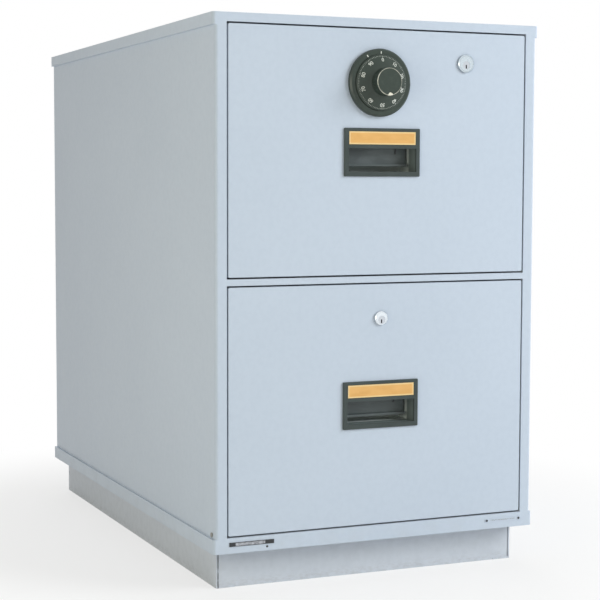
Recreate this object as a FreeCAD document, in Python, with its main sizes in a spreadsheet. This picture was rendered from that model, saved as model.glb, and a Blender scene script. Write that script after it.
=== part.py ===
import FreeCAD, Part
import os
import re
import Sketcher

# Fire-resistant filing cabinet with two drawers, on a plinth.
# Millimetres, +Z up, front towards -Y. The origin lies on the floor, in the middle of the overall box.

document = FreeCAD.newDocument("filing_cabinet")
sheet = document.addObject("Spreadsheet::Sheet", "Sizes")

SIZES = {
    # outer shell
    "cabinet_width": 451,
    "cabinet_depth": 740,
    "cabinet_height": 705,
    "outer_sheet": 1.5,
    "lip_proud": 3,
    "top_lip": 15,
    "bottom_lip": 18,
    "frame_return": 20,
    "frame_corner_radius": 4,
    # plinth
    "plinth_height": 50,
    "plinth_side_inset": 15,
    "plinth_front_inset": 30,
    "plinth_back_inset": 30,
    "plinth_steel": 2,
    "plinth_flange": 25,
    "plinth_joint_gap": 1,
    "plinth_front_setback": 0.8,
    "plinth_bolt_radius": 4,
    "plinth_bolt_head": 7.5,
    "plinth_bolt_head_height": 5.3,
    "plinth_bolt_reach": 14,
    "plinth_bolt_end_inset": 60,
    "bolt_hole_play": 0.3,
    # drawer openings and the lined compartments behind them
    "frame_stile": 18,
    "top_rail": 11,
    "middle_rail": 8,
    "bottom_rail": 19,
    "mouth_depth": 32,
    "shoulder_side": 28.5,
    "shoulder_end": 26,
    "liner_sheet": 1,
    "back_filling": 45,
    # insulated drawer heads
    "head_gap": 2,
    "head_depth": 28,
    "pan_sheet": 1.5,
    "pan_corner_radius": 2,
    "pan_edge_radius": 0.8,
    "plug_gap": 3,
    "plug_depth": 45,
    "seal_inset": 5,
    "seal_width": 14,
    "seal_play": 0.3,
    # drawer trays
    "tray_back_gap": 16.5,
    "tray_sheet": 1.2,
    "tray_floor_gap": 8,
    "tray_top_gap": 12,
    "tray_hem": 10,
    "tray_front_drop": 134.5,
    "tray_screw_side": 120,
    "tray_screw_edge": 35,
    "tray_screw_radius": 2.5,
    "tray_screw_head": 5,
    "tray_screw_head_height": 3,
    "tray_screw_reach": 12,
    # three-member telescopic slides
    "slide_space": 13,
    "slide_back_gap": 10.5,
    "slide_height": 45,
    "slide_steel": 1.5,
    "slide_play": 0.4,
    "slide_rise": 80,
    "slide_start": 6,
    # recessed handles
    "handle_width": 105,
    "handle_height": 60,
    "handle_drop": 184,
    "handle_proud": 3,
    "handle_depth": 40,
    "handle_rim": 4,
    "handle_wall": 1.5,
    "handle_back": 2,
    "handle_edge_radius": 1.2,
    "handle_cutout_play": 0.3,
    "grip_floor": 4.5,
    "grip_roof": 35,
    "hinge_room_front": 14,
    "hinge_room_roof": 50,
    "label_side_rim": 6,
    "label_low": 39.5,
    "label_high": 56,
    "label_pocket": 1.2,
    "label_thickness": 0.8,
    "label_play": 0.3,
    # latch levers, catches and their springs
    "lever_side_gap": 4,
    "lever_axis_depth": 21.5,
    "lever_axis_rise": 41,
    "lever_hub_radius": 4,
    "lever_trunnion_radius": 2.5,
    "trunnion_play": 0.08,
    "lever_plate": 3,
    "lever_foot": 13,
    "lever_lip": 5,
    "lever_arm_length": 22.5,
    "lever_arm_inset": 3,
    "lever_arm_width": 5,
    "lever_arm_thickness": 3.6,
    "lever_tip_radius": 2.8,
    "catch_play": 0.3,
    "catch_depth": 6,
    "catch_width": 10,
    "catch_loop_wall": 3,
    "catch_ramp": 4,
    "catch_draw": 0.3,
    "catch_throw_room": 3,
    "keeper_plate": 1.5,
    "keeper_margin": 7,
    "spring_wire_radius": 0.6,
    "spring_coils": 4,
    "spring_side": 22,
    "spring_play": 0.3,
    "spring_coil_gap": 0.4,
    "spring_lever_leg": 12,
    "spring_roof_leg": 7,
    "spring_lean": 11.5,
    "spring_notch": 2,
    # key locks
    "upper_key_side": 118,
    "upper_key_drop": 40.6,
    "upper_key_ring": 11.5,
    "lower_key_side": 0,
    "lower_key_drop": 45,
    "lower_key_ring": 9.2,
    "key_ring_proud": 3,
    "key_ring_bevel": 1,
    "key_barrel_radius": 8,
    "key_barrel_length": 30,
    "key_plug_radius": 5,
    "key_plug_play": 0.05,
    "key_plug_set_back": 0.4,
    "key_plug_drop": 2,
    "key_shaft_radius": 3,
    "keyway_width": 1.7,
    "keyway_height": 4.6,
    "keyway_rise": 0.5,
    "keyway_depth": 12,
    "key_hole_play": 0.4,
    "cam_thickness": 3,
    "cam_half_width": 4,
    "cam_hub_radius": 6,
    "cam_set_back": 8,
    "cam_roof_gap": 1.2,
    "keeper_lip_front": 1.5,
    "keeper_lip_depth": 5,
    "keeper_lip_drop": 5,
    "keeper_lip_half_width": 9,
    # combination dial
    "dial_side": -5,
    "dial_drop": 68,
    "dial_reach": 31,
    "dial_ring_radius": 42,
    "dial_ring_height": 6.5,
    "dial_ring_bevel": 2,
    "dial_ring_floor": 2,
    "dial_well_radius": 35,
    "dial_play": 0.4,
    "dial_rim_height": 5.5,
    "dial_rim_bevel": 1.5,
    "knob_foot": 1,
    "dial_neck_radius": 19,
    "dial_neck_height": 14,
    "knob_radius": 17,
    "knob_edge": 1.2,
    "spindle_radius": 3.8,
    "spindle_hole_radius": 6,
    # combination lock
    "case_half_width": 32,
    "case_below_dial": 42,
    "case_depth": 29.5,
    "case_wall": 2.5,
    "case_roof_gap": 1,
    "cover_thickness": 2.5,
    "spindle_play": 0.08,
    "drive_cam_radius": 14,
    "drive_cam_start": 4,
    "drive_cam_thickness": 5,
    "drive_cam_gate": 5,
    "lock_bolt_half_width": 12.5,
    "lock_bolt_start": 6,
    "lock_bolt_thickness": 8,
    "lock_bolt_play": 0.2,
    "bolt_keeper_drop": 7,
    "bolt_keeper_front": 1,
    "bolt_keeper_back": 19,
    "bolt_keeper_half_width": 20,
    "bolt_keeper_play": 0.5,
    "wheel_radius": 20,
    "wheel_thickness": 3,
    "wheel_pitch": 4,
    "wheel_start": 15,
    "wheel_gate_width": 5,
    "wheel_gate_depth": 6,
    "wheel_post_radius": 7,
    "wheel_play": 0.06,
    "wheel_post_start": 14.2,
    "fence_gap": 0.5,
    "fence_height": 4,
    "fence_half_width": 2,
    "lock_lever_thickness": 3,
    "lock_lever_left": 4,
    "lock_lever_right": 12,
    # trim on the front frame
    "strip_left": 21,
    "strip_length": 59,
    "strip_rise": 8.5,
    "strip_height": 5,
    "strip_thickness": 0.8,
    "plate_right": 18,
    "plate_length": 53,
    "plate_rise": 8.5,
    "plate_height": 5,
    "plate_thickness": 0.5,
    "plate_rivet_radius": 1.5,
    "plate_rivet_inset": 2.5,
    "plate_rivet_height": 0.7,
    "frame_screw_radius": 3,
    "frame_screw_height": 1.2,
    "frame_screw_depth": 12,
    "frame_screw_rise": 4.5,
}

# Places that follow from the sizes above.
PLACES = {
    "front_y": "(dial_reach - cabinet_depth) / 2",
    "back_y": "front_y + cabinet_depth",
    "panel_back_y": "back_y - lip_proud",
    "frame_back_y": "front_y + frame_return",
    "shoulder_y": "front_y + mouth_depth",
    "liner_back_y": "panel_back_y - outer_sheet - back_filling",
    "head_back_y": "front_y + head_depth",
    "plug_back_y": "head_back_y + plug_depth",
    "half_width": "cabinet_width / 2",
    "half_body": "half_width - lip_proud",
    "half_inside": "half_body - outer_sheet",
    "half_opening": "half_width - frame_stile",
    "half_compartment": "half_opening - shoulder_side",
    "half_pan": "half_opening - head_gap",
    "half_plug": "half_compartment - plug_gap",
    "half_tray": "half_compartment - slide_space",
    "tray_back_y": "liner_back_y - liner_sheet - tray_back_gap",
    "body_floor": "plinth_height",
    "opening_height": "(cabinet_height - plinth_height - top_rail - middle_rail - bottom_rail) / 2",
    "lower_sill": "plinth_height + bottom_rail",
    "lower_head": "lower_sill + opening_height",
    "upper_sill": "lower_head + middle_rail",
    "upper_head": "upper_sill + opening_height",
    "lower_floor": "lower_sill + shoulder_end",
    "lower_roof": "lower_head - shoulder_end",
    "upper_floor": "upper_sill + shoulder_end",
    "upper_roof": "upper_head - shoulder_end",
    "plinth_half_width": "half_width - plinth_side_inset",
    "plinth_front_y": "front_y + plinth_front_inset",
    "plinth_back_y": "back_y - plinth_back_inset",
    "grip_half_width": "handle_width / 2 - handle_rim - handle_wall",
    "handle_box_half": "handle_width / 2 - handle_rim",
    "upper_handle_z": "upper_head - handle_drop",
    "lower_handle_z": "lower_head - handle_drop",
    "half_label": "handle_width / 2 - label_side_rim",
    "half_lever": "grip_half_width - lever_side_gap",
    "lever_arm_side": "half_lever - lever_arm_inset",
    "lever_y": "front_y + lever_axis_depth",
    "catch_y": "lever_y + lever_arm_length",
    "catch_front_y": "catch_y - catch_depth / 2",
    "catch_back_y": "catch_y + catch_depth / 2",
    "dial_z": "upper_head - dial_drop",
    "case_top": "upper_roof - bolt_keeper_drop - case_roof_gap",
    "case_back_y": "plug_back_y + case_depth",
    "lock_bolt_front_y": "plug_back_y + lock_bolt_start",
    "lock_bolt_back_y": "lock_bolt_front_y + lock_bolt_thickness",
    "fence_low": "dial_z + wheel_radius + fence_gap",
    "wheels_back_y": "plug_back_y + wheel_start + 2 * wheel_pitch + wheel_thickness",
    "slide_front_y": "plug_back_y + slide_start",
    "slide_back_y": "liner_back_y - liner_sheet - slide_back_gap",
}

for row, (alias, value) in enumerate(SIZES.items(), 1):
    sheet.set("A%d" % row, alias)
    sheet.set("B%d" % row, str(value))
    sheet.setAlias("B%d" % row, alias)
document.recompute()


def formula(text):
    """An expression on the sheet's cells, from plain words for sizes and places."""
    def spell(match):
        word = match.group(0)
        if word in PLACES:
            return "(" + formula(PLACES[word]) + ")"
        return "Sizes." + word if word in SIZES else word
    return re.sub(r"[A-Za-z_]\w*", spell, str(text))


def value_of(text):
    return float(sheet.evalExpression(formula(text)))


def bind(item, target, text):
    item.setExpression(target, formula(text))


# Solids from primitives

def block(name, along_x, along_y, along_z):
    """A box between a low and a high place along each axis."""
    item = document.addObject("Part::Box", name)
    spans = (("x", "Length", along_x), ("y", "Width", along_y), ("z", "Height", along_z))
    for axis, side, (low, high) in spans:
        bind(item, "Placement.Base." + axis, low)
        bind(item, side, "(%s) - (%s)" % (high, low))
    return item


TURNS = {
    "x": FreeCAD.Rotation(FreeCAD.Vector(0, 1, 0), 90),
    "y": FreeCAD.Rotation(FreeCAD.Vector(1, 0, 0), -90),
    "z": FreeCAD.Rotation(),
}


def stand_along(item, axis, start):
    """Turns a round primitive to an axis and puts the middle of its first face at start."""
    item.Placement.Rotation = TURNS[axis]
    for letter, place in zip("xyz", start):
        bind(item, "Placement.Base." + letter, place)


def rod(name, axis, start, radius, length):
    item = document.addObject("Part::Cylinder", name)
    stand_along(item, axis, start)
    bind(item, "Radius", radius)
    bind(item, "Height", length)
    return item


def hexagon(name, axis, start, radius, length):
    item = document.addObject("Part::Prism", name)
    item.Polygon = 6
    stand_along(item, axis, start)
    bind(item, "Circumradius", radius)
    bind(item, "Height", length)
    return item


def joined(name, pieces):
    item = document.addObject("Part::MultiFuse", name)
    item.Shapes = pieces
    item.Refine = True
    return item


def without(name, base, tools):
    """The base with every tool cut out of it."""
    tool = tools[0] if len(tools) == 1 else joined(name + "_tools", tools)
    item = document.addObject("Part::Cut", name)
    item.Base = base
    item.Tool = tool
    return item


def group(name, pieces):
    item = document.addObject("Part::Compound", name)
    item.Links = pieces
    return item


# Solids from sketches

def new_body(name, place=("0", "0", "0")):
    item = document.addObject("PartDesign::Body", name)
    for letter, text in zip("xyz", place):
        bind(item, "Placement.Base." + letter, text)
    return item


def sketch(body, name, plane, offset="0"):
    """A sketch on one of the body's own origin planes, moved along the plane's normal by offset."""
    item = body.newObject("Sketcher::SketchObject", name)
    support = [feature for feature in body.Origin.OriginFeatures if feature.Role == plane][0]
    item.AttachmentSupport = [(support, "")]
    item.MapMode = "FlatFace"
    if offset != "0":
        bind(item, "AttachmentOffset.Base.z", offset)
    return item


def hold_point(item, edge, point, across, up):
    """Holds one point of a sketch at its two distances from the sketch's origin."""
    for text, kind, axis in ((across, "DistanceX", -2), (up, "DistanceY", -1)):
        if text == "0":
            item.addConstraint(Sketcher.Constraint("PointOnObject", edge, point, axis))
        else:
            rule = Sketcher.Constraint(kind, -1, 1, edge, point, value_of(text))
            number = item.addConstraint(rule)
            bind(item, "Constraints[%d]" % number, text)


def draw_outline(item, corners):
    """A closed outline of straight lines through corners, each given as two formulas."""
    points = [FreeCAD.Vector(value_of(across), value_of(up), 0) for across, up in corners]
    first = item.GeometryCount
    count = len(points)
    for step in range(count):
        line = Part.LineSegment(points[step], points[(step + 1) % count])
        item.addGeometry(line, False)
    for step in range(count):
        after = first + (step + 1) % count
        item.addConstraint(Sketcher.Constraint("Coincident", first + step, 2, after, 1))
    for step, (across, up) in enumerate(corners):
        hold_point(item, first + step, 1, across, up)


def draw_rectangle(item, left, right, low, high):
    draw_outline(item, [(left, low), (right, low), (right, high), (left, high)])


def draw_circle(item, across, up, radius):
    middle = FreeCAD.Vector(value_of(across), value_of(up), 0)
    circle = Part.Circle(middle, FreeCAD.Vector(0, 0, 1), value_of(radius))
    edge = item.addGeometry(circle, False)
    hold_point(item, edge, 3, across, up)
    number = item.addConstraint(Sketcher.Constraint("Radius", edge, value_of(radius)))
    bind(item, "Constraints[%d]" % number, radius)


def pad(body, profile, name, length, reverse=True, middle=False):
    """Pads a sketch. A sketch on the XZ plane grows towards +Y when reversed."""
    item = body.newObject("PartDesign::Pad", name)
    item.Profile = profile
    bind(item, "Length", length)
    item.Reversed = reverse
    item.Midplane = middle
    return item


def pocket(body, profile, name, depth, reverse=False, middle=False):
    """Pockets a sketch. A sketch on the XZ plane cuts towards +Y."""
    item = body.newObject("PartDesign::Pocket", name)
    item.Profile = profile
    bind(item, "Length", depth)
    item.Reversed = reverse
    item.Midplane = middle
    return item


def fillet(body, name, radius, wanted):
    """Rounds the edges of the body that the test wanted picks by their box."""
    document.recompute()
    base = body.Tip
    chosen = ["Edge%d" % number for number, edge in enumerate(base.Shape.Edges, 1)
              if wanted(edge.BoundBox)]
    item = body.newObject("PartDesign::Fillet", name)
    item.Base = (base, chosen)
    bind(item, "Radius", radius)
    return item


def turned(name, corners, place):
    """A solid of revolution about +Y. Corners are (radius, distance along Y)."""
    body = new_body(name, place)
    profile = sketch(body, name + "_profile", "XY_Plane")
    draw_outline(profile, corners)
    item = body.newObject("PartDesign::Revolution", name + "_turn")
    item.Profile = profile
    item.ReferenceAxis = (profile, ["V_Axis"])
    item.Angle = 360
    return body


def channel(name, web_x, inward, depth, half_height, middle_z, front, back):
    """A folded channel along Y: its web stands at web_x and its lips reach inward."""
    body = new_body(name, ("0", front, middle_z))
    profile = sketch(body, name + "_profile", "XZ_Plane")
    sign = "+" if inward > 0 else "-"
    inner = "%s %s slide_steel" % (web_x, sign)
    tip = "%s %s (%s)" % (web_x, sign, depth)
    low = "-(%s)" % half_height
    draw_outline(profile, [
        (web_x, low), (tip, low), (tip, low + " + slide_steel"), (inner, low + " + slide_steel"),
        (inner, "%s - slide_steel" % half_height), (tip, "%s - slide_steel" % half_height),
        (tip, half_height), (web_x, half_height),
    ])
    pad(body, profile, name + "_pad", "(%s) - (%s)" % (back, front))
    return body


nodes = []


def node(name, item):
    """Names a finished sub-part."""
    item.Label = name
    nodes.append(item)
    return item


# Outer shell: a cap and a tray with proud lips, two sides and a back

node("top_cap", without(
    "top_cap_shell",
    block("top_cap_outer", ("-half_width", "half_width"), ("frame_back_y", "back_y"),
          ("cabinet_height - top_lip", "cabinet_height")),
    [block("top_cap_inner", ("-half_body", "half_body"), ("frame_back_y - 1", "panel_back_y"),
           ("cabinet_height - top_lip - 1", "cabinet_height - outer_sheet"))]))

PLINTH_BOLT_Y = (
    "plinth_front_y + plinth_bolt_end_inset",
    "(plinth_front_y + plinth_back_y) / 2",
    "plinth_back_y - plinth_bolt_end_inset",
)
PLINTH_BOLT_X = "plinth_half_width - plinth_flange / 2"
plinth_bolt_places = [(side + "(" + PLINTH_BOLT_X + ")", place)
                      for side in ("-", "+") for place in PLINTH_BOLT_Y]


def plinth_bolt_holes(name, low, high):
    """A clearance hole for each plinth bolt between two heights."""
    return [rod("%s_bolt_hole_%d" % (name, number), "z", (x, y, low),
                "plinth_bolt_radius + bolt_hole_play", "(%s) - (%s)" % (high, low))
            for number, (x, y) in enumerate(plinth_bolt_places)]


node("bottom_tray", without(
    "bottom_tray_shell",
    block("bottom_tray_outer", ("-half_width", "half_width"), ("frame_back_y", "back_y"),
          ("body_floor", "body_floor + bottom_lip")),
    [block("bottom_tray_inner", ("-half_body", "half_body"), ("frame_back_y - 1", "panel_back_y"),
           ("body_floor + outer_sheet", "body_floor + bottom_lip + 1"))]
    + plinth_bolt_holes("bottom_tray", "body_floor - 1", "body_floor + outer_sheet + 1")))

panel_heights = ("body_floor + outer_sheet", "cabinet_height - outer_sheet")
node("left_side_panel", block("left_side_sheet", ("-half_body", "-half_inside"),
                              ("frame_back_y", "panel_back_y"), panel_heights))
node("right_side_panel", block("right_side_sheet", ("half_inside", "half_body"),
                               ("frame_back_y", "panel_back_y"), panel_heights))
node("back_panel", block("back_sheet", ("-half_inside", "half_inside"),
                         ("panel_back_y - outer_sheet", "panel_back_y"), panel_heights))

# Front frame: a formed face with rounded corners, deep returns and two openings

def upright_front_edges_at(place):
    """Picks the upright edges of the front face that stand at a distance from the middle."""
    distance = value_of(place)
    return lambda box: (box.XLength < 0.01 and box.YLength < 0.01 and box.YMin < 0.01
                        and abs(abs(box.XMin) - distance) < 0.01)


frame = new_body("front_frame_body", ("0", "front_y", "0"))
frame_face = sketch(frame, "front_frame_face", "XZ_Plane")
draw_rectangle(frame_face, "-half_body", "half_body", "body_floor", "cabinet_height")
pad(frame, frame_face, "front_frame_pad", "frame_return")
fillet(frame, "front_frame_corners", "frame_corner_radius", upright_front_edges_at("half_body"))
frame_lips = sketch(frame, "front_frame_lips", "XZ_Plane")
draw_rectangle(frame_lips, "-half_width", "half_width", "body_floor", "body_floor + bottom_lip")
draw_rectangle(frame_lips, "-half_width", "half_width", "cabinet_height - top_lip", "cabinet_height")
pad(frame, frame_lips, "front_frame_lips_pad", "frame_return")
fillet(frame, "front_frame_lip_corners", "frame_corner_radius", upright_front_edges_at("half_width"))
frame_hollow = sketch(frame, "front_frame_hollow", "XZ_Plane", "-outer_sheet")
draw_rectangle(frame_hollow, "-half_inside", "half_inside",
               "body_floor + outer_sheet", "cabinet_height - outer_sheet")
pocket(frame, frame_hollow, "front_frame_hollow_cut", "frame_return")
frame_openings = sketch(frame, "front_frame_openings", "XZ_Plane")
draw_rectangle(frame_openings, "-half_opening", "half_opening", "lower_sill", "lower_head")
draw_rectangle(frame_openings, "-half_opening", "half_opening", "upper_sill", "upper_head")
pocket(frame, frame_openings, "front_frame_openings_cut", "frame_return")
node("front_frame", frame)

# Lined compartments with a stepped mouth, and the fire-resistant filling round them

catch_hole = {
    "x": ("lever_arm_side - catch_width / 2 - catch_play",
          "lever_arm_side + catch_width / 2 + catch_play"),
    "y": ("catch_front_y - catch_play", "catch_back_y + catch_play"),
}


def envelope(name, level, swell):
    """The stepped space of one compartment, grown by swell on every side."""
    mouth = block(name + "_mouth",
                  ("-half_opening - " + swell, "half_opening + " + swell),
                  ("front_y", "shoulder_y + " + swell),
                  (level + "_sill - " + swell, level + "_head + " + swell))
    chamber = block(name + "_chamber",
                    ("-half_compartment - " + swell, "half_compartment + " + swell),
                    ("front_y", "liner_back_y - liner_sheet + " + swell),
                    (level + "_floor - " + swell, level + "_roof + " + swell))
    return joined(name, [mouth, chamber])


for level in ("upper", "lower"):
    front_trim = block(level + "_liner_front_trim", ("-cabinet_width", "cabinet_width"),
                       ("front_y - 1", "front_y + outer_sheet"), ("0", "cabinet_height"))
    roof_slot = block(level + "_liner_catch_slot", catch_hole["x"], catch_hole["y"],
                      (level + "_roof - 1", level + "_roof + liner_sheet + 1"))
    node(level + "_liner", without(
        level + "_liner_shell",
        envelope(level + "_liner_outside", level, "liner_sheet"),
        [envelope(level + "_liner_inside", level, "0"), front_trim, roof_slot]))

filling_cuts = [envelope(level + "_filling_space", level, "liner_sheet") for level in ("upper", "lower")]
filling_cuts += [block(level + "_filling_catch_room", catch_hole["x"], catch_hole["y"],
                       (level + "_roof", level + "_roof + liner_sheet + catch_throw_room"))
                 for level in ("upper", "lower")]
filling_cuts += plinth_bolt_holes("filling", "body_floor", "body_floor + plinth_bolt_reach + 1")
node("cabinet_insulation", without(
    "cabinet_filling",
    block("cabinet_filling_block", ("-half_inside", "half_inside"),
          ("front_y + outer_sheet", "panel_back_y - outer_sheet"), panel_heights),
    filling_cuts))

# Plinth: two side rails that run its whole depth, a front and a back rail between them, and bolts


def rail(name, web, along_y, top_flange, bottom_flange):
    return joined(name, [
        block(name + "_web", web, along_y, ("plinth_steel", "plinth_height - plinth_steel")),
        block(name + "_top", top_flange[0], top_flange[1], ("plinth_height - plinth_steel", "plinth_height")),
        block(name + "_foot", bottom_flange[0], bottom_flange[1], ("0", "plinth_steel"))])


side_run = ("plinth_front_y", "plinth_back_y")
for side, sign in (("left", "-"), ("right", "")):
    ends = [sign + "plinth_half_width", sign + "(plinth_half_width - plinth_steel)",
            sign + "(plinth_half_width - plinth_flange)"]
    web = (ends[0], ends[1]) if side == "left" else (ends[1], ends[0])
    flange = (ends[0], ends[2]) if side == "left" else (ends[2], ends[0])
    whole = rail("plinth_%s_form" % side, web, side_run, (flange, side_run), (flange, side_run))
    holes = plinth_bolt_holes("plinth_" + side, "plinth_height - plinth_steel - 1", "plinth_height + 1")
    node("plinth_%s_rail" % side, without("plinth_%s_drilled" % side, whole, holes))

cross_web = ("-(plinth_half_width - plinth_steel - plinth_joint_gap)",
             "plinth_half_width - plinth_steel - plinth_joint_gap")
cross_flange = ("-(plinth_half_width - plinth_flange - plinth_joint_gap)",
                "plinth_half_width - plinth_flange - plinth_joint_gap")
front_start = "plinth_front_y + plinth_front_setback"
back_start = "plinth_back_y - plinth_front_setback"
front_flange = (cross_flange, (front_start, front_start + " + plinth_flange"))
back_flange = (cross_flange, (back_start + " - plinth_flange", back_start))
node("plinth_front_rail", rail("plinth_front_form", cross_web, (front_start, front_start + " + plinth_steel"),
                               front_flange, front_flange))
node("plinth_back_rail", rail("plinth_back_form", cross_web, (back_start + " - plinth_steel", back_start),
                              back_flange, back_flange))

node("plinth_bolts", group("plinth_bolt_set", [
    joined("plinth_bolt_%d" % number, [
        hexagon("plinth_bolt_head_%d" % number, "z",
                (x, y, "plinth_height - plinth_steel - plinth_bolt_head_height"),
                "plinth_bolt_head", "plinth_bolt_head_height"),
        rod("plinth_bolt_shank_%d" % number, "z", (x, y, "plinth_height - plinth_steel"),
            "plinth_bolt_radius", "plinth_steel + plinth_bolt_reach")])
    for number, (x, y) in enumerate(plinth_bolt_places)]))

# Telescopic slides: outer members on the liners, middle members, inner members on the trays


def slide_pair(name, level, member):
    """The left and right channels of one member of a drawer's slides."""
    middle_z = level + "_floor + tray_floor_gap + slide_rise"
    height = {
        "outer": "slide_height / 2",
        "middle": "(slide_height / 2 - slide_steel - slide_play)",
        "inner": "(slide_height / 2 - 2 * slide_steel - 2 * slide_play)",
    }[member]
    web = {
        "outer": "half_compartment",
        "middle": "(half_compartment - slide_steel - slide_play)",
        "inner": "half_tray",
    }[member]
    depth = {
        "outer": "slide_space - slide_steel - slide_play",
        "middle": "slide_space - 2 * slide_steel - 2 * slide_play",
        "inner": "slide_space - 2 * slide_steel - 2 * slide_play",
    }[member]
    pair = []
    for side, sign, turn in (("left", "-", 1), ("right", "", -1)):
        inward = turn if member != "inner" else -turn
        pair.append(channel("%s_%s" % (name, side), sign + web, inward, depth, height, middle_z,
                            "slide_front_y", "slide_back_y"))
    return group(name + "_pair", pair)


for level in ("upper", "lower"):
    node(level + "_outer_slides", slide_pair(level + "_outer_slide", level, "outer"))
    node(level + "_middle_slides", slide_pair(level + "_middle_slide", level, "middle"))

# Keepers on the compartment roofs: for the latches, for the key cams and for the combination bolt

KEY_X = {"upper": "upper_key_side", "lower": "lower_key_side"}
KEY_Z = {"upper": "(upper_head - upper_key_drop)", "lower": "(lower_head - lower_key_drop)"}
PLUG_Z = {level: "(%s - key_plug_drop)" % height for level, height in KEY_Z.items()}

keepers = []
for level in ("upper", "lower"):
    roof = level + "_roof"
    plate = block(level + "_latch_keeper_plate",
                  (catch_hole["x"][0] + " - keeper_margin", catch_hole["x"][1] + " + keeper_margin"),
                  (catch_hole["y"][0] + " - keeper_margin", catch_hole["y"][1] + " + keeper_margin"),
                  (roof + " - keeper_plate", roof))
    slot = block(level + "_latch_keeper_slot", catch_hole["x"], catch_hole["y"],
                 (roof + " - keeper_plate - 1", roof + " + 1"))
    keepers.append(without(level + "_latch_keeper", plate, [slot]))
    keeper_front = "plug_back_y + keeper_lip_front"
    keepers.append(block(level + "_cam_keeper",
                         (KEY_X[level] + " - keeper_lip_half_width",
                          KEY_X[level] + " + keeper_lip_half_width"),
                         (keeper_front, keeper_front + " + keeper_lip_depth"),
                         (roof + " - keeper_lip_drop", roof)))
bolt_keeper_block = block("bolt_keeper_block",
                          ("dial_side - bolt_keeper_half_width", "dial_side + bolt_keeper_half_width"),
                          ("plug_back_y + bolt_keeper_front", "plug_back_y + bolt_keeper_back"),
                          ("upper_roof - bolt_keeper_drop", "upper_roof"))
bolt_keeper_slot = block("bolt_keeper_slot",
                         ("dial_side - lock_bolt_half_width - bolt_keeper_play",
                          "dial_side + lock_bolt_half_width + bolt_keeper_play"),
                         ("lock_bolt_front_y - bolt_keeper_play", "lock_bolt_back_y + bolt_keeper_play"),
                         ("upper_roof - bolt_keeper_drop - 1", "upper_roof + 1"))
keepers.append(without("bolt_keeper", bolt_keeper_block, [bolt_keeper_slot]))
node("lock_keepers", group("lock_keeper_set", keepers))

# Trim on the front frame: a strip at the lower left, a plate with two rivets at the lower right,
# and a screw in each side return

strip_x = "-half_width + strip_left"
node("trim_strip", block("trim_strip_bar", (strip_x, strip_x + " + strip_length"),
                         ("front_y - strip_thickness", "front_y"),
                         ("body_floor + strip_rise", "body_floor + strip_rise + strip_height")))
plate_x = "half_width - plate_right - plate_length"
rivet_z = "body_floor + plate_rise + plate_height / 2"
name_plate = [block("name_plate_blank", (plate_x, plate_x + " + plate_length"),
                    ("front_y - plate_thickness", "front_y"),
                    ("body_floor + plate_rise", "body_floor + plate_rise + plate_height"))]
name_plate += [rod("name_plate_rivet_" + side, "y",
                   (place, "front_y - plate_thickness - plate_rivet_height", rivet_z),
                   "plate_rivet_radius", "plate_rivet_height")
               for side, place in (("left", plate_x + " + plate_rivet_inset"),
                                   ("right", plate_x + " + plate_length - plate_rivet_inset"))]
node("name_plate", group("name_plate_and_rivets", name_plate))
screw_z = "body_floor + bottom_lip + frame_screw_rise"
node("frame_screws", group("frame_screw_pair", [
    rod("frame_screw_left", "x", ("-half_body - frame_screw_height", "front_y + frame_screw_depth", screw_z),
        "frame_screw_radius", "frame_screw_height"),
    rod("frame_screw_right", "x", ("half_body", "front_y + frame_screw_depth", screw_z),
        "frame_screw_radius", "frame_screw_height")]))


# Drawers

def tray_screw_places(level):
    """The places of a tray's screws: a low and a high one on each side of its front wall."""
    low = level + "_floor + tray_floor_gap + tray_screw_edge"
    high = level + "_head - tray_front_drop - tray_screw_edge"
    return [(side + "tray_screw_side", height) for side in ("-", "") for height in (low, high)]


def head_holes(name, level, low_y, high_y, play):
    """The round passages through a drawer head between two depths."""
    span = "(%s) - (%s)" % (high_y, low_y)
    holes = [rod(name + "_key_passage", "y", (KEY_X[level], low_y, PLUG_Z[level]),
                 "key_shaft_radius + " + play, span)]
    if level == "upper":
        holes.append(rod(name + "_spindle_passage", "y", ("dial_side", low_y, "dial_z"),
                         "spindle_hole_radius", span))
    return holes


def tray_screw_holes(name, level, low_y, high_y):
    return [rod("%s_screw_hole_%d" % (name, number), "y", (x, low_y, z),
                "tray_screw_radius + bolt_hole_play", "(%s) - (%s)" % (high_y, low_y))
            for number, (x, z) in enumerate(tray_screw_places(level))]


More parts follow.
